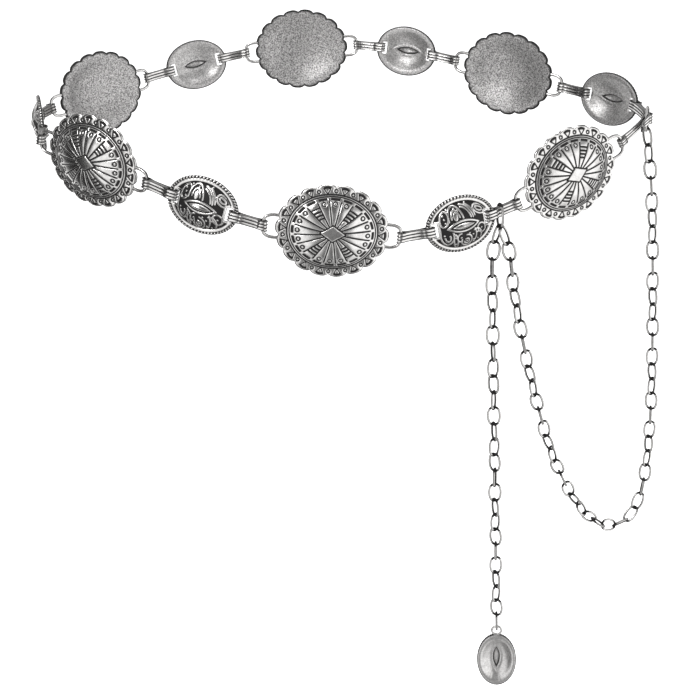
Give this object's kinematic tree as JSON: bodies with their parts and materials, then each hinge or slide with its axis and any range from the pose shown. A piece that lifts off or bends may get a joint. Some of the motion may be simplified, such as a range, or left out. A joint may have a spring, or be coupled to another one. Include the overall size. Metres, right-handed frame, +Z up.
{
  "type": "concho chain belt",
  "caption": "Oval concho belt on ribbed strip connectors, worn as a closed loop, with a hook clasp, a draped link chain and a hanging tail with an oval drop.",
  "frame": {"origin": "middle of the waist that the belt hangs round, about half way between the front and back of the loop", "axes": "+X the wearer's left, +Y the back of the waist, +Z up"},
  "size_m": [0.3205, 0.1701, 0.3464],
  "materials": {
    "cast_metal": "antiqued silver tone, bright raised relief, black in the recesses, satin backs",
    "chain_metal": "polished silver tone wire, darker where links cross"
  },
  "bodies": {
    "belt": {"concho_large_1": "cast_metal", "concho_large_2": "cast_metal", "concho_large_3": "cast_metal", "concho_large_4": "cast_metal", "concho_large_5": "cast_metal", "concho_large_6": "cast_metal", "concho_small_1": "cast_metal", "concho_small_2": "cast_metal", "concho_small_3": "cast_metal", "concho_small_4": "cast_metal", "concho_small_5": "cast_metal", "concho_small_6": "cast_metal", "connector_1": "cast_metal", "connector_2": "cast_metal", "connector_3": "cast_metal", "connector_4": "cast_metal", "connector_5": "cast_metal", "connector_6": "cast_metal", "connector_7": "cast_metal", "connector_8": "cast_metal", "connector_9": "cast_metal", "connector_10": "cast_metal", "connector_11": "cast_metal", "connector_12": "cast_metal", "clasp_hook": "cast_metal", "clasp_ring": "chain_metal", "drape_chain": "chain_metal", "tail_chain": "chain_metal"},
    "drop": {"drop_concho": "cast_metal"}
  },
  "joints": [
    {"name": "drop_swing", "type": "hinge", "parent": "belt", "child": "drop", "pos_m": [0.075, -0.05547, -0.26014], "axis": [0, 1, 0], "range_deg": [-60, 60]}
  ]
}
